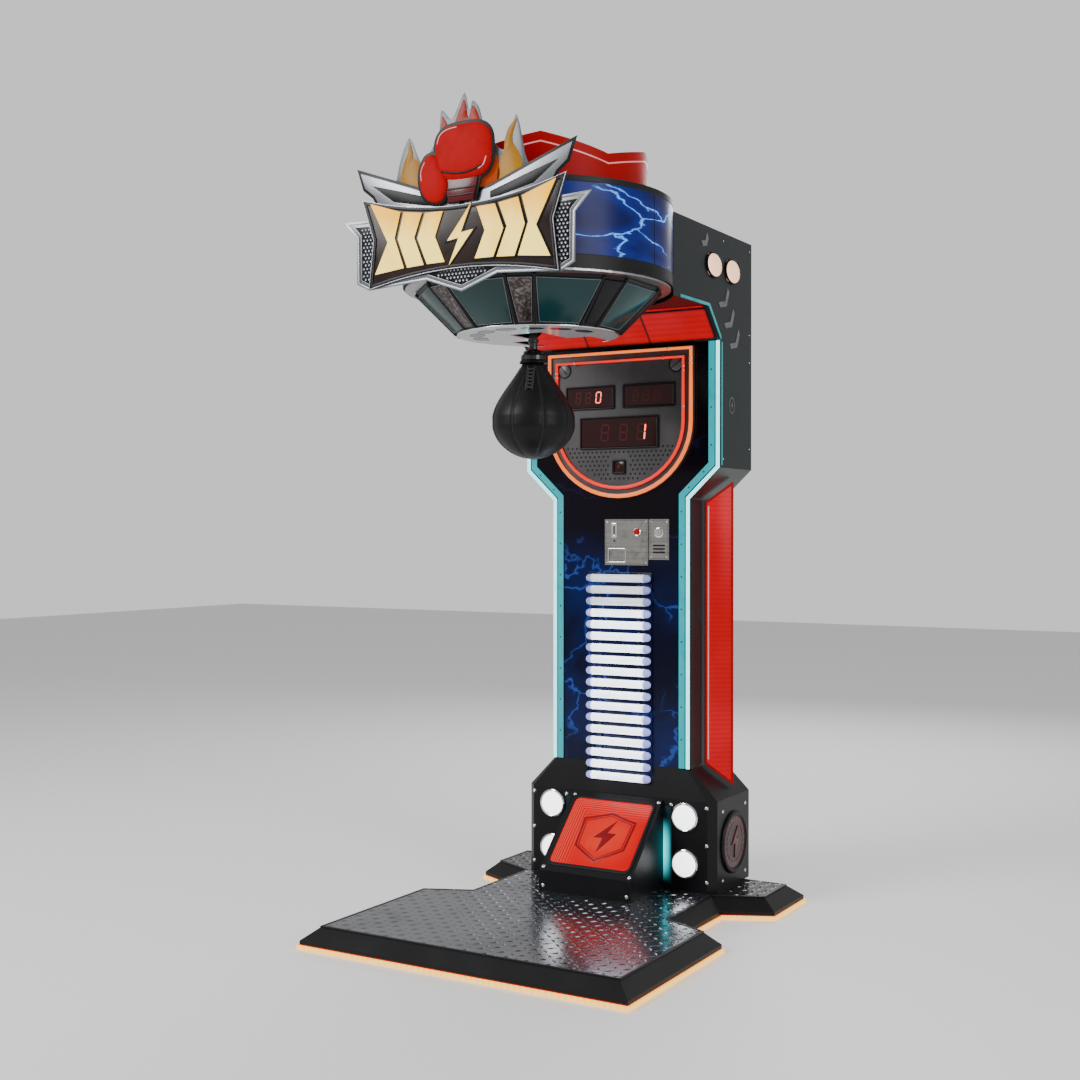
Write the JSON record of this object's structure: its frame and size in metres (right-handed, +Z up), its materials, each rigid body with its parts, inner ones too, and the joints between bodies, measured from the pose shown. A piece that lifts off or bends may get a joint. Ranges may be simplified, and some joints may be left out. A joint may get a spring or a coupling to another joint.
{
  "type": "boxing punch machine",
  "caption": "Floor-standing arcade strength tester with a lit platform, column, scoreboard and head, and a leather ball that swings up when punched.",
  "frame": {"origin": "on the floor under the middle of the footprint", "axes": "+Z up, the player stands at -Y, +X is to the player's right"},
  "size_m": [1.066, 1.244, 2.376],
  "materials": {
    "black_paint": "satin black powder coat",
    "checker_plate": "rolled diamond tread",
    "warm_led": "lit diffuser",
    "rubber": "matt",
    "white_lens": "lit opal diffuser",
    "warm_lens": "lit opal diffuser",
    "medallion": "dark printed disc with a silver rim",
    "red_lens": "lit red diffuser",
    "zinc_steel": "zinc plated",
    "navy_acrylic": "high gloss",
    "cyan_lens": "lit diffuser",
    "stainless": "brushed",
    "red_plastic": "gloss",
    "chrome": "polished",
    "grey_plastic": "matt",
    "board_paint": "hammered dark grey",
    "neon_orange": "lit tube",
    "neon_red": "lit tube",
    "red_window": "smoked red acrylic",
    "blue_print": "gloss printed sheet",
    "teal_plastic": "gloss",
    "pale_plastic": "satin",
    "bearing_steel": "ground",
    "leather": "black grained leather",
    "silver_plastic": "metallised",
    "flame_plastic": "gloss, printed",
    "banner_lens": "lit faces on a dark ground"
  },
  "bodies": {
    "cabinet": {"base_frame": "black_paint", "deck_plate": "checker_plate", "base_led_strip": "warm_led", "foot_front_left": "rubber", "foot_front_right": "rubber", "foot_rear_left": "rubber", "foot_rear_right": "rubber", "pedestal_shell": "black_paint", "pedestal_lamps_left": "white_lens", "pedestal_lamps_right": "white_lens", "side_medallion_left": "medallion", "side_medallion_right": "medallion", "wedge_housing": "black_paint", "wedge_window": "red_lens", "cash_box": "zinc_steel", "column_shell": "black_paint", "front_panel": "navy_acrylic", "edge_strip_left": "cyan_lens", "edge_strip_right": "cyan_lens", "side_glow_panel_left": "red_lens", "side_glow_panel_right": "red_lens", "light_tubes": "white_lens", "coin_plate": "stainless", "lock_plate": "stainless", "coin_validator": "grey_plastic", "scoreboard_plate": "board_paint", "neon_outer": "neon_orange", "neon_inner": "neon_red", "display_left": "red_window", "display_right": "red_window", "display_lower": "red_window", "control_box": "grey_plastic", "power_inlet": "grey_plastic", "head_shell": "black_paint", "oval_lamps_left": "warm_lens", "oval_lamps_right": "warm_lens", "drum_shell": "blue_print", "crown_ring": "red_plastic", "skirt_ring": "teal_plastic", "skirt_disc": "pale_plastic", "pivot_bracket": "zinc_steel", "pivot_bearing_left": "bearing_steel", "pivot_bearing_right": "bearing_steel", "stop_pad": "rubber", "solenoid_body": "grey_plastic", "sign_backplate": "silver_plastic", "sign_wings": "silver_plastic", "sign_flames": "flame_plastic", "sign_banner": "banner_lens", "sign_glove": "red_plastic"},
    "swing": {"pivot_axle": "bearing_steel", "swing_arm": "zinc_steel", "punch_ball": "leather"},
    "latch": {"latch_hook": "zinc_steel"},
    "plunger": {"solenoid_plunger": "bearing_steel"},
    "reject_button_body": {"reject_button": "red_plastic"},
    "return_flap_body": {"return_flap": "stainless"},
    "coin_lock_body": {"coin_lock": "chrome"},
    "rear_door_body": {"rear_door": "black_paint"},
    "door_lock_body": {"door_lock": "chrome"}
  },
  "joints": [
    {"name": "ball_swing", "type": "hinge", "parent": "cabinet", "child": "swing", "pos_m": [0, -0.195, 1.85], "axis": [1, 0, 0], "range_deg": [0, 68]},
    {"name": "latch_turn", "type": "hinge", "parent": "cabinet", "child": "latch", "pos_m": [0.062, -0.095, 1.876], "axis": [0, 1, 0], "range_deg": [0, 14], "stiffness_Nm_per_rad": 0.5},
    {"name": "plunger_slide", "type": "slide", "parent": "cabinet", "child": "plunger", "axis": [-1, 0, 0], "range_m": [0, 0.0085]},
    {"name": "reject_press", "type": "slide", "parent": "cabinet", "child": "reject_button_body", "axis": [0, 1, 0], "range_m": [0, 0.005], "stiffness_N_per_m": 400},
    {"name": "return_flap_swing", "type": "hinge", "parent": "cabinet", "child": "return_flap_body", "pos_m": [-0.01, 0.3512, 1.133], "axis": [1, 0, 0], "range_deg": [0, 60]},
    {"name": "coin_lock_turn", "type": "hinge", "parent": "cabinet", "child": "coin_lock_body", "pos_m": [0.14, 0.35, 1.19], "axis": [0, 1, 0], "range_deg": [0, 90]},
    {"name": "rear_door_swing", "type": "hinge", "parent": "cabinet", "child": "rear_door_body", "pos_m": [-0.213, 0.6053, 0.87], "axis": [0, 0, 1], "range_deg": [0, 110]},
    {"name": "door_lock_turn", "type": "hinge", "parent": "rear_door_body", "child": "door_lock_body", "pos_m": [0.18, 0.6, 0.87], "axis": [0, -1, 0], "range_deg": [0, 90]}
  ],
  "couplings": [
    {"joint": "plunger_slide", "follows": "latch_turn", "m_per_rad": 0.031}
  ]
}
